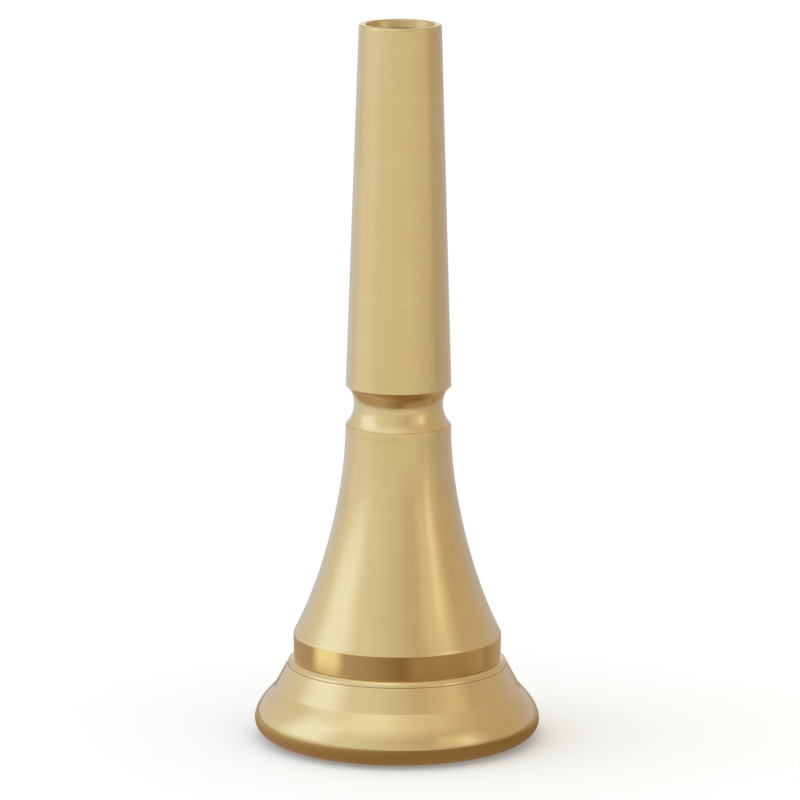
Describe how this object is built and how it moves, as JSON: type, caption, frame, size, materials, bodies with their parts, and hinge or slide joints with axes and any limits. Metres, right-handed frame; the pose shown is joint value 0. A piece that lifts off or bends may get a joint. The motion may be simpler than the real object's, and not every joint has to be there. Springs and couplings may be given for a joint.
{
  "type": "horn mouthpiece",
  "caption": "Turned brass horn mouthpiece: a rounded rim screwed to a funnel cup with a thin bevelled ring between, and a coved neck and tapered shank that plugs into the cup.",
  "frame": {"origin": "centre of the rim face, in the plane the rim rests on", "axes": "+Z along the mouthpiece's axis, from the rim up to the shank end; the piece is round, so +X and +Y are any two directions across it"},
  "size_m": [0.0258, 0.0258, 0.065],
  "materials": {
    "rim": "satin",
    "seat_ring": "polished",
    "cup": "satin, with a polished band",
    "shank": "satin"
  },
  "bodies": {
    "rim_body": {"rim": "rim"},
    "ring_body": {"seat_ring": "seat_ring"},
    "cup_body": {"cup": "cup"},
    "shank_body": {"shank": "shank"}
  },
  "joints": [
    {"name": "ring_lift", "type": "slide", "parent": "rim_body", "child": "ring_body", "axis": [0, 0, 1], "range_m": [0, 0.003]},
    {"name": "cup_turn", "type": "hinge", "parent": "ring_body", "child": "cup_body", "pos_m": [0, 0, 0.007], "axis": [0, 0, 1], "range_deg": [0, 1440]},
    {"name": "shank_pull", "type": "slide", "parent": "cup_body", "child": "shank_body", "axis": [0, 0, 1], "range_m": [0, 0.0048]}
  ],
  "couplings": [
    {"joint": "cup_turn", "follows": "ring_lift", "rad_per_m": 8377.5}
  ]
}
